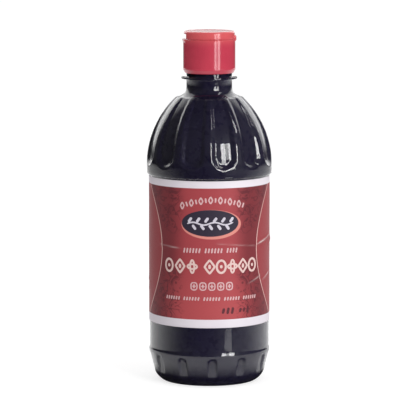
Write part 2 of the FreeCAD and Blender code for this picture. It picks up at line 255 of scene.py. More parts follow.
def body_outline(with_ring):
    """Half outline of the bottle from the middle of its underside up to the mouth, corners softened.

    Arcs for the underside, the heel, the dome and the cove, and straight runs for the rest.
    """
    push_up = 4.0
    foot_inner_radius = 21.0
    foot_radius = 25.6
    underside_curve = (foot_inner_radius ** 2 + push_up ** 2) / (2 * push_up)
    cove_foot = (NECK_RADIUS + COVE_RADIUS, COVE_START)
    parts = [
        arc((0, push_up), (foot_inner_radius, 0), underside_curve, -1, 60),
        [(foot_radius, 0)],
        arc((foot_radius, 0), (30.7, 6.2), 9.55, 1, 40),
        [(32.9, 14.65), (33.5, 16.6), (33.5, 18.0), (33.25, 18.7), (PANEL_RADIUS, 19.9)],
        [(PANEL_RADIUS, 114.7), (SKIRT_RADIUS - 0.8, 114.7)],
        arc((SKIRT_RADIUS - 0.8, 114.7), (SKIRT_RADIUS, 115.5), 0.8, 1, 12),
        arc((SKIRT_RADIUS, SKIRT_END), (DOME_TOP_RADIUS, DOME_TOP), DOME_CURVE, 1, 240),
        arc(cove_foot, (NECK_RADIUS, COVE_START + COVE_RADIUS), COVE_RADIUS, -1, 60),
    ]
    if with_ring:
        parts.append(
            [
                (NECK_RADIUS, RING_UNDERSIDE - 0.35),
                (RING_RADIUS, RING_UNDERSIDE),
                (RING_RADIUS, RING_TOP),
                (NECK_RADIUS, RING_TOP),
            ]
        )
    parts.append([(NECK_RADIUS, MOUTH_HEIGHT)])
    return softened(resampled(np.concatenate([np.asarray(part, float) for part in parts]), 0.1), 9)


def relief(height, radius, angle):
    """How far the flutes and the arches lie in from the outline, for arrays of heights and angles.

    Across a flute the depth is a smooth step from its edge down to a nearly flat floor; share is how far
    out from its middle, by angle, and below the middle of its rounded end by the root of the squares.
    Up the dome the depth is the flute depth times cosine less the lift times sine of the dome's angle.
    """
    degrees = np.degrees(angle)
    pitch = 360.0 / FLUTES
    across = (degrees - FLUTE_PHASE + pitch / 2) % pitch - pitch / 2
    climb = np.arcsin(np.clip((height - SKIRT_END) / DOME_CURVE, 0, 1))
    along = climb * DOME_CURVE - np.maximum(SKIRT_END - height, 0)
    below = np.maximum(FLUTE_END_HEIGHT - along, 0) / FLUTE_END_HEIGHT
    share = np.sqrt((across / FLUTE_HALF_ANGLE) ** 2 + below ** 2)
    depth = FLUTE_DEPTH * np.cos(climb) - FLUTE_LIFT * np.sin(climb)
    fade = 1 - smooth_step(DOME_TOP - 0.2, DOME_TOP + 1.2, height)
    flute = depth * fade * smooth_step(-0.15, 1.12, (1 - share) / (1 - FLUTE_FLOOR_SHARE))
    flute = np.where(height > SKIRT_END - 5, flute, 0)
    sideways = np.radians((degrees - ARCH_PHASE + pitch / 2) % pitch - pitch / 2) * radius
    over = np.maximum(height - ARCH_CENTRE_HEIGHT, 0)
    reach = np.sqrt(sideways ** 2 + over ** 2) / ARCH_HALF_WIDTH
    arch = ARCH_DEPTH * smooth_step(-0.1, 1.15, (1 - reach) / 0.45) * smooth_step(4.0, 10.5, height)
    arch = np.where(height < 17.0, arch, 0)
    return np.maximum(flute, 0) + np.maximum(arch, 0)


def wall_at(height):
    """Wall thickness by height: thicker at the foot, at the step under the skirt and up in the neck."""
    return np.interp(
        height,
        [0.0, 2.0, 6.0, 114.0, 114.8, 116.5, 157.4, 163.6, 170.0],
        [0.9, 0.8, WALL, WALL, 0.7, WALL, WALL, NECK_WALL, NECK_WALL],
    )


def bottle_skin(outline, closeness, rows_per_turn, columns, inset):
    """Rows by columns of points: the outline turned about Z and moved in along its normal.

    It moves in by the flutes and arches, and by inset, which is a number for each row.
    """
    rows = chosen_rows(outline, closeness, rows_per_turn)
    normal = outward(outline)[rows]
    picked = outline[rows]
    angle = np.linspace(0, 2 * np.pi, columns, endpoint=False)[None, :]
    height = picked[:, 1][:, None]
    radius = picked[:, 0][:, None]
    depth = relief(height + 0 * angle, radius, angle) + inset(height)
    moved_radius = np.maximum(radius - depth * normal[:, 0][:, None], 0.0)
    moved_height = height - depth * normal[:, 1][:, None]
    return turned(moved_radius, moved_height, angle)


def row_closeness(outline, fine):
    """Rows for each millimetre by height: close on the flutes' ends and the arches, wide on plain walls."""
    per_mm = np.interp(
        outline[:, 1],
        [0.0, 4.0, 18.5, 20.5, 113.0, 117.5, 118.5, 128.0, 130.0, 157.0, 158.0, 164.0, 190.0],
        [0.5, 1.2, 1.2, 0.02, 0.02, 0.8, 2.6, 2.6, 0.9, 0.9, 1.1, 0.1, 0.1],
    )
    inner = outline[:, 0] < 24.0
    per_mm = np.where(inner & (outline[:, 1] < 5.0), 0.3, per_mm)
    return per_mm * fine


def make_bottle():
    """The clear bottle as one closed shell: outside up to the mouth, then its inside down to the middle."""
    columns = 456
    outside = body_outline(with_ring=True)
    inside = body_outline(with_ring=False)
    outer = bottle_skin(outside, row_closeness(outside, 0.8), 5.0, columns, lambda height: 0 * height)
    inner = bottle_skin(inside, row_closeness(inside, 0.35), 2.5, columns, wall_at)[::-1]
    outer[:, :, 2] = np.maximum(outer[:, :, 2], 0.0)
    return grid_mesh("clear_bottle", np.concatenate([outer, inner]), True, True)


def make_sauce():
    """The sauce: the bottle's inside form, reaching a little into the wall, closed at its level."""
    columns = 432
    inside = body_outline(with_ring=False)
    inside = inside[inside[:, 1] <= SAUCE_LEVEL]
    form = bottle_skin(
        inside, row_closeness(inside, 0.6), 3.5, columns, lambda height: wall_at(height) - SAUCE_INTO_WALL
    )
    top = form[-1:].copy()
    middle = form[-1:] * np.array([0.0, 0.0, 1.0])
    return grid_mesh("sauce", np.concatenate([form, top, middle]), True, True)


# ---------------------------------------------------------------- label

LABEL_TALL = LABEL_TOP - LABEL_BOTTOM
FILM_RADIUS = LABEL_RADIUS - 0.1
WRAP_LENGTH = 2 * np.pi * FILM_RADIUS

# Creases: from (around, up) to (around, up) in millimetres, out from the front's middle and up from the
# label's foot, then height and width.
CREASES = [
    (29.2, 44.6, 46.0, 48.6, 0.62, 0.7),
    (43.0, 42.0, 51.5, 46.6, 0.55, 0.8),
    (-32.0, 44.8, -15.5, 43.4, 0.24, 1.1),
    (3.2, 46.4, 29.5, 43.9, 0.14, 0.7),
    (22.4, 23.4, 33.4, 27.4, 0.34, 0.7),
    (34.0, 24.2, 46.5, 28.6, 0.4, 0.7),
    (-51.0, 24.0, -43.0, 20.5, 0.28, 0.9),
    (-52.0, 17.5, -44.5, 19.0, 0.2, 0.9),
    (-62.0, 55.0, -74.0, 51.0, 0.22, 0.9),
    (68.0, 30.0, 84.0, 34.5, 0.18, 1.0),
    (90.0, 60.0, 99.0, 56.0, 0.16, 0.9),
    (-92.0, 22.0, -80.0, 27.0, 0.2, 1.0),
]


def painted_crease_highlight(around, up):
    """Painted highlight along the creases, 0 to 1: along each crease, e to the minus squared distance, by its
    height.
    """
    total = 0.0 * around + 0.0 * up
    for start_a, start_h, end_a, end_h, height, width in CREASES:
        run = np.array([end_a - start_a, end_h - start_h])
        length = np.hypot(*run)
        run = run / length
        along = (around - start_a) * run[0] + (up - start_h) * run[1]
        off = -(around - start_a) * run[1] + (up - start_h) * run[0]
        ends = smooth_step(-0.5, 4.0, along) * (1 - smooth_step(length - 4.0, length + 0.5, along))
        broken = 0.72 + 0.28 * np.sin(along * 0.5 + 9.0 * height)
        total = total + 1.5 * height * ends * broken * np.exp(-((off / 0.34) ** 2))
    return np.clip(total, 0.0, 0.9)


def film_relief(around, up):
    """How far the film stands off its even radius at a place given in millimetres around and up.

    Each crease is a roof: its height times e to the minus distance over width, fading at its ends, with a
    shallow trough beside it.  Long slow waves lie under them all.
    """
    slow = 0.035 * np.sin(around / 7.3 + np.sin(up / 11.0)) * np.sin(up / 9.1 + 0.6)
    slow = slow + 0.02 * np.sin(around / 3.1 + up / 17.0) * np.sin(up / 4.7)
    total = slow * smooth_step(0, 4, up) * (1 - smooth_step(LABEL_TALL - 4, LABEL_TALL, up))
    for start_a, start_h, end_a, end_h, height, width in CREASES:
        run = np.array([end_a - start_a, end_h - start_h])
        length = np.hypot(*run)
        run = run / length
        along = (around - start_a) * run[0] + (up - start_h) * run[1]
        off = -(around - start_a) * run[1] + (up - start_h) * run[0]
        ends = smooth_step(-1.5, 3.0, along) * (1 - smooth_step(length - 3.0, length + 1.5, along))
        roof = np.exp(-np.abs(off) / width) - 0.35 * np.exp(-(((off + 2.2 * width) / width) ** 2))
        total = total + height * ends * roof
    return np.maximum(total, -0.14)


def on_film(around, up, lift):
    """The point, in millimetres, at a place on the film given around and up, lifted off the film."""
    angle = around / FILM_RADIUS - np.pi / 2
    radius = FILM_RADIUS + film_relief(around, up) + lift
    return np.stack([radius * np.cos(angle), radius * np.sin(angle), LABEL_BOTTOM + up], axis=-1)


def make_label():
    """The wrap label: a closed sleeve of film with its creases, and a lapped seam at the back."""
    columns = 504
    tall = LABEL_TALL
    around = np.linspace(-WRAP_LENGTH / 2, WRAP_LENGTH / 2, columns, endpoint=False)[None, :]
    up = np.r_[0.0, 0.12, np.linspace(0.5, tall - 0.5, 146), tall - 0.12, tall][:, None]
    lap = 0.06 * (1 - smooth_step(-99.2, -98.7, around)) + 0 * up
    rim = 0.1 * (1 - smooth_step(0.0, 0.3, up) + smooth_step(tall - 0.3, tall, up))
    outer = on_film(around + 0 * up, up + 0 * around, lap - rim)
    inner_radius = PANEL_RADIUS + 0.05
    angle = around / FILM_RADIUS - np.pi / 2
    ends = np.array([tall, 0.0])[:, None]
    inner = turned(inner_radius + 0 * ends + 0 * angle, LABEL_BOTTOM + ends, angle)
    points = np.concatenate([outer, inner])
    share_around = np.linspace(0, 1, columns + 1)
    share_up = np.r_[up[:, 0] / tall, 1.0, 0.0, 0.0]
    uv = np.stack(np.broadcast_arrays(share_around[None, :], share_up[:, None]), axis=-1)
    piece = grid_mesh("label_film", points, False, False, uv=uv, loop_rows=True)
    # Painted highlight: a pale share along each crease, kept as a point attribute that the film's colour
    # reads.
    crease_highlight_paint = np.concatenate([painted_crease_highlight(around + 0 * up, up + 0 * around), np.zeros((2, columns))])
    layer = piece.data.attributes.new("crease_highlight_paint", "FLOAT", "POINT")
    layer.data.foreach_set("value", crease_highlight_paint.astype(np.float32).ravel())
    return piece


def strip(path, width, ring):
    """A flat printed line laid on the film along a path of (around, up): a thin closed band.

    Its half width tapers as a half circle at both ends unless it is a ring.
    """
    path = np.asarray(path, float)
    tangent = np.gradient(path, axis=0)
    if ring:
        tangent = np.roll(path, -1, axis=0) - np.roll(path, 1, axis=0)
    tangent /= np.hypot(tangent[:, 0], tangent[:, 1])[:, None]
    side = np.stack([-tangent[:, 1], tangent[:, 0]], axis=-1)
    along = np.r_[0, np.cumsum(np.hypot(*np.diff(path, axis=0).T))]
    half = np.full(len(path), width / 2)
    if not ring:
        from_end = np.minimum(along, along[-1] - along)
        inside = np.clip(1 - from_end / (width / 2), 0, 1)
        half = half * np.sqrt(np.maximum(1 - inside ** 2, 0.05))
    left = path + side * half[:, None]
    right = path - side * half[:, None]
    top, foot = 0.03, -0.03
    edges = [(left, top), (right, top), (right, foot), (left, foot)]
    return np.stack([on_film(edge[:, 0], edge[:, 1], lift) for edge, lift in edges], axis=1), ring


def bar(start_a, start_h, end_a, end_h, width):
    """A straight printed bar with round ends."""
    ends = np.array([[start_a, start_h], [end_a, end_h]])
    share = np.r_[0, 0.03, 0.1, np.linspace(0.2, 0.8, 5), 0.9, 0.97, 1][:, None]
    return strip(ends[0] * (1 - share) + ends[1] * share, width, False)


def loop(middle_a, middle_h, half_a, half_h, width, roundness=1.0, steps=28):
    """A printed ring: a circle's cosine and sine, each to the roundness's power, times its halves."""
    turn = np.linspace(0, 2 * np.pi, steps, endpoint=False)
    across, rise = np.cos(turn), np.sin(turn)
    across = np.sign(across) * np.abs(across) ** roundness
    rise = np.sign(rise) * np.abs(rise) ** roundness
    path = np.stack([middle_a + half_a * across, middle_h + half_h * rise], axis=-1)
    return strip(path, width, True)


def title_ornaments():
    """Eight ornaments in groups of three and five, in place of the large lettering."""
    middles = [-23.8, -16.6, -9.4, 0.2, 6.6, 13.0, 19.4, 25.8]
    kinds = "abcbacba"
    level = 33.8
    strips = []
    for middle, kind in zip(middles, kinds):
        if kind == "a":
            strips.append(loop(middle, level, 2.5, 3.4, 1.2))
            strips.append(bar(middle, level - 0.9, middle, level + 0.9, 1.5))
        if kind == "b":
            strips.append(loop(middle, level, 2.7, 3.6, 1.15, roundness=1.8))
            strips.append(bar(middle, level - 1.2, middle, level + 1.2, 1.5))
        if kind == "c":
            strips.append(loop(middle, level, 1.15, 3.5, 1.05))
            strips.append(loop(middle, level, 2.7, 1.3, 1.05))
    return strips


def arched_row():
    """Lozenges and upright grains by turns along a shallow arch, in place of the arched lettering."""
    strips = []
    for number, middle in enumerate(np.linspace(-15.2, 19.4, 14)):
        level = 70.2 - 3.4 * ((middle - 2.1) / 17.7) ** 2
        lean = -0.022 * (middle - 2.1)
        if number % 2 == 0:
            strips.append(loop(middle, level, 1.0, 1.75, 0.78, roundness=1.6, steps=20))
        else:
            strips.append(bar(middle + 1.4 * lean, level - 1.3, middle - 1.4 * lean, level + 1.3, 0.95))
    return strips


def grain_row(start, end, level, tall, pitch):
    """A row of small leaning grains of one height, every seventh one left out."""
    places = np.arange(start, end, pitch)
    kept = [place for number, place in enumerate(places) if number % 7 != 6]
    return [bar(place, level - tall / 2, place + 0.5, level + tall / 2, 0.9) for place in kept]


def small_rows():
    """Rows of grains in place of the small lines of lettering, and five small rosettes."""
    strips = grain_row(-14.2, 16.6, 42.6, 2.7, 1.72)
    strips += grain_row(-25.6, 28.4, 16.1, 2.0, 1.62)
    for middle in (-8.4, -3.5, 1.4, 6.3, 11.2):
        strips.append(loop(middle, 23.0, 1.7, 2.0, 0.7, roundness=0.7, steps=24))
        strips.append(bar(middle - 1.0, 23.0, middle + 1.0, 23.0, 0.75))
        strips.append(bar(middle, 21.8, middle, 24.2, 0.75))
    return strips


def sprig():
    """A pale sprig of beans and leaves lying along the middle of the dark oval."""
    strips = []
    turns = np.linspace(-12.4, 13.4, 40)
    strips.append(strip(np.stack([turns, 57.4 + 0.7 * np.sin(turns / 1.9)], axis=-1), 0.85, False))
    for number, middle in enumerate(np.linspace(-11.6, 11.4, 11)):
        lean = 1.0 if number % 2 == 0 else -1.0
        strips.append(bar(middle, 57.4 + 0.7 * lean, middle + 1.9, 57.4 + 3.3 * lean, 1.5))
    return strips


def volume_bars():
    """Dark short bars in place of the volume mark."""
    places = [(7.4, 3.0), (10.0, 3.6), (12.6, 3.6), (17.4, 2.4), (19.8, 2.4), (22.2, 3.6)]
    return [bar(place, 9.4 - tall / 2, place + 0.8, 9.4 + tall / 2, 1.5) for place, tall in places]


# ---------------------------------------------------------------- cap


LEDGE_REACH = 0.75
LEDGE_HEIGHT = 1.8
RECESS_DEPTH = 1.45
HINGE_REACH = 0.6


def make_cap():
    """The flip-top cap, shut: turned outline, with its ledge, recess and hinge worked in by angle.

    Outside the thumb's and the hinge's angles the radius is the turned one.  Inside them it is mixed with the
    radius of the ledge, the recess or the hinge by a soft window of the angle.
    """
    seam_height = CAP_TOP - 4.3
    below_seam = seam_height - 0.175
    above_seam = seam_height + 0.175
    lid_radius = CAP_RADIUS - 0.32
    bead_height = CAP_BOTTOM + 2.2
    socket = NECK_RADIUS + 0.05
    corners = [
        (0, MOUTH_HEIGHT),
        (socket, MOUTH_HEIGHT),
        (socket, CAP_BOTTOM),
        (CAP_RADIUS - 0.82, CAP_BOTTOM),
        (CAP_RADIUS, bead_height - 0.4),
        (CAP_RADIUS + 0.18, bead_height - 0.12),
        (CAP_RADIUS + 0.18, bead_height + 0.12),
        (CAP_RADIUS, bead_height + 0.4),
        (CAP_RADIUS, below_seam - 0.12),
        (CAP_RADIUS - 0.12, below_seam),
        (lid_radius - 0.4, below_seam),
        (lid_radius - 0.4, above_seam),
        (lid_radius - 0.1, above_seam),
        (lid_radius, above_seam + 0.1),
    ]
    corners += arc((lid_radius, CAP_TOP - 1.1), (lid_radius - 1.1, CAP_TOP), 1.1, 1, 12).tolist()
    corners += [(lid_radius - 1.9, CAP_TOP), (lid_radius - 2.2, CAP_TOP - 0.12), (0, CAP_TOP - 0.12)]
    outline = resampled(corners, 0.06)
    height = outline[:, 1][:, None]
    radius = outline[:, 0][:, None]
    columns = 480
    angle = np.linspace(0, 2 * np.pi, columns, endpoint=False)[None, :]
    off_thumb = np.abs(np.degrees(angle) - 180.0)
    off_hinge = 180.0 - off_thumb
    thumb = 1 - smooth_step(23.2, 24.6, off_thumb)
    hinge = 1 - smooth_step(12.2, 13.4, off_hinge)
    side = (radius > lid_radius - 0.7) & (height > CAP_BOTTOM + 1)
    ledge = LEDGE_REACH * np.clip((height - below_seam + LEDGE_HEIGHT) / LEDGE_HEIGHT, 0, 1) * thumb
    in_body = side & (height < below_seam - 0.01) & (radius > CAP_RADIUS - 0.2)
    shaped = radius + np.where(in_body, ledge, 0)
    at_corner = side & (np.abs(height - below_seam) < 0.02) & (radius > CAP_RADIUS - 0.6)
    corner_reach = LEDGE_REACH * thumb * smooth_step(CAP_RADIUS - 0.6, CAP_RADIUS - 0.15, radius)
    shaped = shaped + np.where(at_corner, corner_reach, 0)
    recess_depth = RECESS_DEPTH * (1 - np.clip((height - below_seam - 2.4) / 0.5, 0, 1)) * thumb
    in_lid = side & (height > below_seam + 0.02)
    recess_radius = np.minimum(shaped, lid_radius - recess_depth)
    shaped = np.where(in_lid, thumb * recess_radius + (1 - thumb) * shaped, shaped)
    low, high = seam_height - 1.4, seam_height + 2.2
    swell = smooth_step(low, low + 0.6, height) * (1 - smooth_step(high - 0.6, high, height))
    shaped = np.where(side, shaped + hinge * swell * np.maximum(CAP_RADIUS + HINGE_REACH - shaped, 0), shaped)
    points = softened(turned(shaped, height, angle), 8)
    closeness = np.where(outline[:, 1] > seam_height - 2.2, 9.0, 0.25)
    closeness = np.where(outline[:, 0] < lid_radius - 2.4, 0.15, closeness)
    rows = chosen_rows(softened(outline, 8), closeness, 6.0)
    return grid_mesh("flip_cap", points[rows], True, True)


# ---------------------------------------------------------------- materials


def link(tree, source, target):
    """Join one socket to another, or set the socket when the source is a plain value."""
    if isinstance(source, bpy.types.NodeSocket):
        tree.links.new(source, target)
    else:
        target.default_value = source


def maths(tree, operation, *values, clamp=False):
    """The output of a Math node on values that are sockets or numbers."""
    node = tree.nodes.new("ShaderNodeMath")
    node.operation = operation
    node.use_clamp = clamp
    for value, socket in zip(values, node.inputs):
        link(tree, value, socket)
    return node.outputs[0]


def ramp_between(tree, value, low, high, out_low=0.0, out_high=1.0):
    """A smooth step of a value from low to high, as out_low to out_high."""
    node = tree.nodes.new("ShaderNodeMapRange")
    node.interpolation_type = "SMOOTHSTEP"
    link(tree, value, node.inputs["Value"])
    node.inputs["From Min"].default_value = low
    node.inputs["From Max"].default_value = high
    node.inputs["To Min"].default_value = out_low
    node.inputs["To Max"].default_value = out_high
    return node.outputs["Result"]


def mixed(tree, share, first, second, blend="MIX"):
    """The colour that lies the given share of the way from the first to the second."""
    node = tree.nodes.new("ShaderNodeMix")
    node.data_type = "RGBA"
    node.blend_type = blend
    link(tree, share, node.inputs[0])
    for value, socket in ((first, node.inputs[6]), (second, node.inputs[7])):
        link(tree, value if isinstance(value, bpy.types.NodeSocket) else (*value, 1.0), socket)
    return node.outputs[2]


def noise(tree, place, scale, detail, roughness=0.5, distortion=0.0):
    """The grey value of a Noise node at a place."""
    node = tree.nodes.new("ShaderNodeTexNoise")
    link(tree, place, node.inputs["Vector"])
    node.inputs["Scale"].default_value = scale
    node.inputs["Detail"].default_value = detail
    node.inputs["Roughness"].default_value = roughness
    node.inputs["Distortion"].default_value = distortion
    return node.outputs["Fac"]


def make_moulding_group():
    """Moulded surface: a slow mottle, a fine grain and a height of slow ripples with fine grain on them."""
    group = bpy.data.node_groups.new("moulded_surface", "ShaderNodeTree")
    group.interface.new_socket("Place", in_out="INPUT", socket_type="NodeSocketVector")
    for name, value in (("Ripple scale", 60.0), ("Grain scale", 1200.0), ("Grain share", 0.2)):
        socket = group.interface.new_socket(name, in_out="INPUT", socket_type="NodeSocketFloat")
        socket.default_value = value
    for name in ("Mottle", "Grain", "Height"):
        group.interface.new_socket(name, in_out="OUTPUT", socket_type="NodeSocketFloat")
    given = group.nodes.new("NodeGroupInput")
    result = group.nodes.new("NodeGroupOutput")
    place = given.outputs["Place"]
    ripple = group.nodes.new("ShaderNodeTexNoise")
    ripple.inputs["Detail"].default_value = 2.0
    group.links.new(place, ripple.inputs["Vector"])
    group.links.new(given.outputs["Ripple scale"], ripple.inputs["Scale"])
    grain = group.nodes.new("ShaderNodeTexNoise")
    grain.inputs["Detail"].default_value = 3.0
    group.links.new(place, grain.inputs["Vector"])
    group.links.new(given.outputs["Grain scale"], grain.inputs["Scale"])
    fine = maths(group, "MULTIPLY", grain.outputs["Fac"], given.outputs["Grain share"])
    height = maths(group, "ADD", ripple.outputs["Fac"], fine)
    group.links.new(ramp_between(group, ripple.outputs["Fac"], 0.3, 0.7), result.inputs["Mottle"])
    group.links.new(ramp_between(group, grain.outputs["Fac"], 0.3, 0.7), result.inputs["Grain"])
    group.links.new(height, result.inputs["Height"])
    return group


def moulded(tree, group, ripple_scale, grain_scale, grain_share):
    """The moulded surface's outputs on Object coordinates."""
    place = tree.nodes.new("ShaderNodeTexCoord").outputs["Object"]
    node = tree.nodes.new("ShaderNodeGroup")
    node.node_tree = group
    tree.links.new(place, node.inputs["Place"])
    node.inputs["Ripple scale"].default_value = ripple_scale
    node.inputs["Grain scale"].default_value = grain_scale
    node.inputs["Grain share"].default_value = grain_share
    return node.outputs


def bump(tree, height, strength, distance):
    """The normal that a height gives."""
    node = tree.nodes.new("ShaderNodeBump")
    node.inputs["Strength"].default_value = strength
    node.inputs["Distance"].default_value = distance
    link(tree, height, node.inputs["Height"])
    return node.outputs["Normal"]


def new_material(name):
    """A material with its tree and its Principled shader."""
    made = bpy.data.materials.new(name)
    made.use_nodes = True
    return made, made.node_tree, made.node_tree.nodes["Principled BSDF"]


def clear_plastic(group):
    """Blown clear plastic: glass-like, with slow ripples and a faint change of polish."""
    made, tree, shader = new_material("clear_plastic")
    surface = moulded(tree, group, 70.0, 900.0, 0.004)
    tint = mixed(tree, surface["Mottle"], (0.985, 0.985, 0.99), (0.95, 0.955, 0.97))
    link(tree, tint, shader.inputs["Base Color"])
    link(tree, ramp_between(tree, surface["Mottle"], 0.0, 1.0, 0.02, 0.05), shader.inputs["Roughness"])
    link(tree, bump(tree, surface["Height"], 0.15, 0.0004), shader.inputs["Normal"])
    shader.inputs["IOR"].default_value = 1.57
    shader.inputs["Transmission Weight"].default_value = 1.0
    return made


def dark_sauce(group):
    """Soy sauce in bulk: nearly black with a cool cast, and a faint swirl."""
    made, tree, shader = new_material("dark_sauce")
    surface = moulded(tree, group, 25.0, 300.0, 0.1)
    brown_black = mixed(tree, surface["Mottle"], (0.0132, 0.0108, 0.0300), (0.0116, 0.0096, 0.0270))
    link(tree, brown_black, shader.inputs["Base Color"])
    link(tree, ramp_between(tree, surface["Grain"], 0.0, 1.0, 0.25, 0.35), shader.inputs["Roughness"])
    shader.inputs["Specular IOR Level"].default_value = 0.1
    return made


def cap_plastic(group):
    """Moulded red plastic with a soft gloss, faint flow marks and fine grain, and painted light that makes it
    paler towards the top.
    """
    made, tree, shader = new_material("cap_plastic")
    surface = moulded(tree, group, 110.0, 2600.0, 0.06)
    place = tree.nodes.new("ShaderNodeTexCoord").outputs["Object"]
    split = tree.nodes.new("ShaderNodeSeparateXYZ")
    tree.links.new(place, split.inputs[0])
    body = mixed(tree, surface["Mottle"], (0.50, 0.045, 0.079), (0.54, 0.052, 0.087))
    # Painted light: the red turns paler over the top nine millimetres, as if lit from above.
    painted_top_light = ramp_between(tree, split.outputs["Z"], (CAP_TOP - 9.0) * MM, (CAP_TOP - 1.5) * MM)
    link(tree, mixed(tree, painted_top_light, body, (0.66, 0.105, 0.115)), shader.inputs["Base Color"])
    link(tree, ramp_between(tree, surface["Grain"], 0.0, 1.0, 0.11, 0.17), shader.inputs["Roughness"])
    link(tree, bump(tree, surface["Height"], 0.12, 0.0003), shader.inputs["Normal"])
    return made


def printed_film(group):
    """The label's film: pale bands, a red field with a darker scrolled ground, side lines, a dark oval and
    painted highlight along the creases.

    Around and up are in millimetres from the front's middle and the label's foot.  The side lines stand off
    the middle of the front and of the back by a parabola of the height.
    """
    made, tree, shader = new_material("printed_film")
    wrap = tree.nodes.new("ShaderNodeUVMap")
    wrap.uv_map = "wrap"
    split = tree.nodes.new("ShaderNodeSeparateXYZ")
    tree.links.new(wrap.outputs["UV"], split.inputs[0])
    around = maths(tree, "MULTIPLY", maths(tree, "SUBTRACT", split.outputs["X"], 0.5), WRAP_LENGTH)
    up = maths(tree, "MULTIPLY", split.outputs["Y"], LABEL_TALL)
    off_front = maths(tree, "ABSOLUTE", around)
    off_middle = maths(tree, "MINIMUM", off_front, maths(tree, "SUBTRACT", WRAP_LENGTH / 2, off_front))
    rise = maths(tree, "SUBTRACT", up, 42.4)
    bow = maths(tree, "MULTIPLY", maths(tree, "MULTIPLY", rise, rise), 0.0115)
    line_place = maths(tree, "ADD", bow, 29.4)
    past_line = maths(tree, "SUBTRACT", off_middle, line_place)
    outside = ramp_between(tree, past_line, -0.1, 0.1)
    on_line = ramp_between(tree, maths(tree, "ABSOLUTE", past_line), 0.15, 0.42, 1.0, 0.0)

    to_side = ramp_between(tree, off_middle, 11.0, 24.0)
    field = mixed(tree, to_side, (0.385, 0.058, 0.068), (0.20, 0.030, 0.038))
    low = ramp_between(tree, up, 8.0, 38.0, 1.0, 0.0)
    low_middle = maths(tree, "MULTIPLY", low, ramp_between(tree, off_middle, 13.0, 32.0, 1.0, 0.0))
    field = mixed(tree, low_middle, field, (0.45, 0.074, 0.082))
    field = mixed(tree, outside, field, (0.32, 0.052, 0.060))

    place = tree.nodes.new("ShaderNodeCombineXYZ")
    tree.links.new(off_middle, place.inputs[0])
    tree.links.new(up, place.inputs[1])
    scroll = noise(tree, place.outputs[0], 0.17, 1.0, 0.4, 1.4)
    off_vine = maths(tree, "ABSOLUTE", maths(tree, "SUBTRACT", scroll, 0.5))
    vines = ramp_between(tree, off_vine, 0.012, 0.045, 1.0, 0.0)
    leaves = ramp_between(tree, scroll, 0.58, 0.64)
    vines = maths(tree, "MAXIMUM", vines, leaves)
    before_line = ramp_between(tree, past_line, -3.0, -1.2, 1.0, 0.0)
    beside = maths(tree, "MULTIPLY", ramp_between(tree, off_middle, 13.0, 20.0), before_line)
    far_up = ramp_between(tree, maths(tree, "ABSOLUTE", rise), 6.0, 14.0)
    vines = maths(tree, "MULTIPLY", maths(tree, "MULTIPLY", vines, beside), far_up)
    field = mixed(tree, maths(tree, "MULTIPLY", vines, 0.7), field, (0.10, 0.018, 0.026))
    field = mixed(tree, on_line, field, (0.72, 0.46, 0.43))

    def ellipse(middle_a, middle_h, half_a, half_h):
        """Distance from an ellipse's middle as a share of its halves."""
        across = maths(tree, "DIVIDE", maths(tree, "SUBTRACT", around, middle_a), half_a)
        climb = maths(tree, "DIVIDE", maths(tree, "SUBTRACT", up, middle_h), half_h)
        across = maths(tree, "MULTIPLY", across, across)
        climb = maths(tree, "MULTIPLY", climb, climb)
        return maths(tree, "SQRT", maths(tree, "ADD", across, climb))

    border = ramp_between(tree, ellipse(1.2, 56.9, 16.9, 8.1), 0.985, 1.01, 1.0, 0.0)
    field = mixed(tree, border, field, (0.72, 0.26, 0.22))
    oval = ramp_between(tree, ellipse(0.5, 57.6, 16.0, 7.3), 0.985, 1.015, 1.0, 0.0)
    field = mixed(tree, oval, field, (0.034, 0.026, 0.046))

    under_top_band = ramp_between(tree, up, 76.5, 76.8, 1.0, 0.0)
    red_part = maths(tree, "MULTIPLY", ramp_between(tree, up, 4.5, 4.8), under_top_band)
    surface = moulded(tree, group, 90.0, 2400.0, 0.07)
    pale = mixed(tree, surface["Mottle"], (0.80, 0.745, 0.80), (0.775, 0.72, 0.78))
    colour = mixed(tree, red_part, pale, field)
    # Painted highlight: the film turns pale along the creases by the attribute's share.
    crease_highlight_paint = tree.nodes.new("ShaderNodeAttribute")
    crease_highlight_paint.attribute_name = "crease_highlight_paint"
    colour = mixed(tree, crease_highlight_paint.outputs["Fac"], colour, (0.80, 0.68, 0.66))
    link(tree, colour, shader.inputs["Base Color"])
    link(tree, ramp_between(tree, surface["Grain"], 0.0, 1.0, 0.48, 0.6), shader.inputs["Roughness"])
    link(tree, bump(tree, surface["Height"], 0.2, 0.0003), shader.inputs["Normal"])
    shader.inputs["Specular IOR Level"].default_value = 0.22
    return made


def print_ink(group, name, colour, darker):
    """Ink on the film, with the film's own sheen and a slightly uneven lay."""
    made, tree, shader = new_material(name)
    surface = moulded(tree, group, 200.0, 2400.0, 0.3)
    link(tree, mixed(tree, surface["Grain"], colour, darker), shader.inputs["Base Color"])
    link(tree, ramp_between(tree, surface["Grain"], 0.0, 1.0, 0.48, 0.6), shader.inputs["Roughness"])
    shader.inputs["Specular IOR Level"].default_value = 0.22
    return made


def finish_piece(piece, material, node):
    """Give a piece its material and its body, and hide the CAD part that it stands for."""
    piece.data.materials.append(material)
    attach(piece, "root")
    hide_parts(node)
    return piece


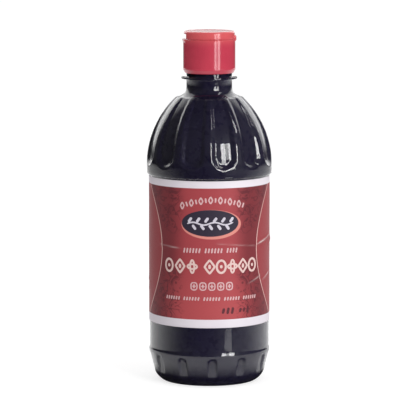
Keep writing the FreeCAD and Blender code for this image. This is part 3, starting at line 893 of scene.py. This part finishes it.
moulding = make_moulding_group()
bottle = finish_piece(make_bottle(), clear_plastic(moulding), "bottle")
bottle.visible_shadow = False
finish_piece(make_sauce(), dark_sauce(moulding), "soy_sauce")
finish_piece(make_label(), printed_film(moulding), "label")
cream_ink = print_ink(moulding, "cream_ink", (0.80, 0.60, 0.56), (0.72, 0.50, 0.47))
rose_ink = print_ink(moulding, "rose_ink", (0.72, 0.48, 0.49), (0.63, 0.38, 0.39))
pale_ink = print_ink(moulding, "pale_ink", (0.68, 0.64, 0.72), (0.58, 0.54, 0.62))
dark_ink = print_ink(moulding, "dark_ink", (0.14, 0.03, 0.04), (0.10, 0.022, 0.03))
for name, strips, ink in (
    ("print_title", title_ornaments(), cream_ink),
    ("print_arch", arched_row(), rose_ink),
    ("print_rows", small_rows(), rose_ink),
    ("print_sprig", sprig(), pale_ink),
    ("print_volume", volume_bars(), dark_ink),
):
    finish_piece(joined_strips(name, strips), ink, "label")
finish_piece(make_cap(), cap_plastic(moulding), "cap")


# ---------------------------------------------------------------- floor, light and camera


def direction(azimuth, elevation):
    """Unit vector from the object: azimuth is round from the camera's side towards +X, both in degrees."""
    a, e = math.radians(azimuth), math.radians(elevation)
    return np.array([math.sin(a) * math.cos(e), -math.cos(a) * math.cos(e), math.sin(e)])


def soft_panel(name, azimuth, middle_height, distance, width, tall, radiance):
    """A soft light panel facing the bottle; its power is radiance times pi times its area."""
    lamp = bpy.data.lights.new(name, "AREA")
    lamp.shape = "RECTANGLE"
    lamp.size = width
    lamp.size_y = tall
    lamp.energy = radiance * math.pi * width * tall
    holder = bpy.data.objects.new(name, lamp)
    bpy.context.scene.collection.objects.link(holder)
    towards = direction(azimuth, 0)
    holder.location = towards * distance + np.array([0, 0, middle_height])
    holder.rotation_euler = (math.radians(90), 0, math.radians(azimuth))
    return holder


def make_floor():
    """Pale floor: white to the camera but for the bottle's shadow; in gloss it shows only near and behind."""
    corners = [(-4, -4, 0), (4, -4, 0), (4, 4, 0), (-4, 4, 0)]
    mesh = bpy.data.meshes.new("floor")
    mesh.from_pydata(corners, [], [(0, 1, 2, 3)])
    floor = bpy.data.objects.new("floor", mesh)
    floor.location.z = -0.0002
    bpy.context.scene.collection.objects.link(floor)
    made = bpy.data.materials.new("pale_floor")
    made.use_nodes = True
    tree = made.node_tree
    tree.nodes.clear()
    rays = tree.nodes.new("ShaderNodeLightPath")
    seen = maths(tree, "MAXIMUM", rays.outputs["Is Camera Ray"], rays.outputs["Is Transmission Ray"])
    glow = tree.nodes.new("ShaderNodeEmission")
    link(tree, maths(tree, "MULTIPLY", seen, 0.68), glow.inputs["Strength"])
    matt = tree.nodes.new("ShaderNodeBsdfDiffuse")
    matt.inputs["Color"].default_value = (0.55, 0.55, 0.55, 1)
    both = tree.nodes.new("ShaderNodeAddShader")
    tree.links.new(glow.outputs[0], both.inputs[0])
    tree.links.new(matt.outputs[0], both.inputs[1])
    place = tree.nodes.new("ShaderNodeTexCoord").outputs["Object"]
    far = tree.nodes.new("ShaderNodeVectorMath")
    far.operation = "LENGTH"
    tree.links.new(place, far.inputs[0])
    split = tree.nodes.new("ShaderNodeSeparateXYZ")
    tree.links.new(place, split.inputs[0])
    share = maths(tree, "DIVIDE", split.outputs["Y"], maths(tree, "ADD", far.outputs["Value"], 0.001))
    near = ramp_between(tree, far.outputs["Value"], 0.5, 1.8, 1.0, 0.0)
    shown = maths(tree, "MULTIPLY", near, ramp_between(tree, share, -0.9, 0.5))
    closest = ramp_between(tree, far.outputs["Value"], 0.12, 0.3, 1.0, 0.0)
    shown = maths(tree, "MAXIMUM", shown, maths(tree, "MULTIPLY", closest, 0.8))
    shown = maths(tree, "MULTIPLY", shown, ramp_between(tree, far.outputs["Value"], 0.034, 0.05))
    bright = tree.nodes.new("ShaderNodeEmission")
    bright.inputs["Strength"].default_value = 1.45
    clear = tree.nodes.new("ShaderNodeBsdfTransparent")
    gloss = tree.nodes.new("ShaderNodeMixShader")
    tree.links.new(shown, gloss.inputs[0])
    tree.links.new(clear.outputs[0], gloss.inputs[1])
    tree.links.new(bright.outputs[0], gloss.inputs[2])
    final = tree.nodes.new("ShaderNodeMixShader")
    tree.links.new(rays.outputs["Is Glossy Ray"], final.inputs[0])
    tree.links.new(both.outputs[0], final.inputs[1])
    tree.links.new(gloss.outputs[0], final.inputs[2])
    result = tree.nodes.new("ShaderNodeOutputMaterial")
    tree.links.new(final.outputs[0], result.inputs["Surface"])
    mesh.materials.append(made)


def make_world():
    """White to the camera; in gloss bright behind the bottle and dim before it; an even fill for the rest."""
    world = bpy.data.worlds.new("studio")
    bpy.context.scene.world = world
    world.use_nodes = True
    tree = world.node_tree
    tree.nodes.clear()
    rays = tree.nodes.new("ShaderNodeLightPath")
    towards = tree.nodes.new("ShaderNodeTexCoord").outputs["Generated"]
    split = tree.nodes.new("ShaderNodeSeparateXYZ")
    tree.links.new(towards, split.inputs[0])
    backward = maths(tree, "ADD", split.outputs["Y"], maths(tree, "MULTIPLY", split.outputs["Z"], 0.7))
    behind = ramp_between(tree, backward, 0.66, 0.95, 0.09, 2.1)
    below = ramp_between(tree, split.outputs["Z"], -0.06, 0.03, 0.15, 1.0)
    beside = maths(tree, "ABSOLUTE", split.outputs["X"])
    low_back = maths(tree, "ABSOLUTE", maths(tree, "SUBTRACT", split.outputs["Z"], 0.13))
    card_height = ramp_between(tree, low_back, 0.05, 0.1, 1.0, 0.0)
    card = maths(tree, "MULTIPLY", ramp_between(tree, beside, 0.15, 0.3, 1.0, 0.0), card_height)
    card = maths(tree, "SUBTRACT", 1.0, maths(tree, "MULTIPLY", card, 0.8))
    below = maths(tree, "MULTIPLY", below, card)
    above = ramp_between(tree, split.outputs["Z"], 0.6, 0.95, 1.0, 0.4)
    gloss = maths(tree, "MULTIPLY", maths(tree, "MULTIPLY", behind, below), above)
    through = ramp_between(tree, split.outputs["Y"], -0.05, 0.4, 0.15, 1.0)
    fill = ramp_between(tree, split.outputs["X"], -1.0, 1.0, 0.74, 0.56)
    strength = maths(tree, "MULTIPLY", rays.outputs["Is Glossy Ray"], gloss)
    strength = maths(tree, "ADD", strength, rays.outputs["Is Camera Ray"])
    strength = maths(tree, "ADD", strength, maths(tree, "MULTIPLY", rays.outputs["Is Diffuse Ray"], fill))
    passing = maths(tree, "MULTIPLY", rays.outputs["Is Transmission Ray"], through)
    strength = maths(tree, "ADD", strength, passing)
    shade = tree.nodes.new("ShaderNodeBackground")
    shade.inputs["Color"].default_value = (1, 1, 1, 1)
    tree.links.new(strength, shade.inputs["Strength"])
    result = tree.nodes.new("ShaderNodeOutputWorld")
    tree.links.new(shade.outputs[0], result.inputs["Surface"])


def make_camera():
    """A long lens a little above the bottle's middle, looking down at it by a few degrees."""
    camera_data = bpy.data.cameras.new("camera")
    look_down = 7.3
    camera_data.lens = 268.0
    camera_data.sensor_width = 36.0
    camera_data.clip_start = 0.05
    camera_data.clip_end = 50.0
    camera = bpy.data.objects.new("camera", camera_data)
    bpy.context.scene.collection.objects.link(camera)
    camera.location = np.array([0.0004, 0.0, 0.0941]) + direction(0, look_down) * 1.728
    camera.rotation_euler = (math.radians(90 - look_down), 0, 0)
    bpy.context.scene.camera = camera


make_floor()
make_world()
# Panels: azimuth and middle height, distance, width and height in metres, and radiance.
PANELS = {
    "main_panel_left": (28.0, 0.405, 1.2, 0.18, 0.43, 12.0),
    "main_panel_middle": (35.4, 0.405, 1.21, 0.10, 0.43, 5.0),
    "main_panel_right": (43.0, 0.405, 1.2, 0.21, 0.43, 12.0),
    "low_panel_left": (28.0, 0.105, 1.2, 0.18, 0.17, 8.0),
    "low_panel_right": (43.0, 0.105, 1.2, 0.21, 0.17, 8.0),
    "floor_panel": (36.0, -0.14, 1.2, 0.30, 0.12, 1.6),
    "upper_panel": (66.0, 1.05, 0.75, 0.10, 0.85, 6.0),
}
for name, panel in PANELS.items():
    soft_panel(name, *panel)
make_camera()

bpy.context.scene.view_settings.view_transform = "Standard"
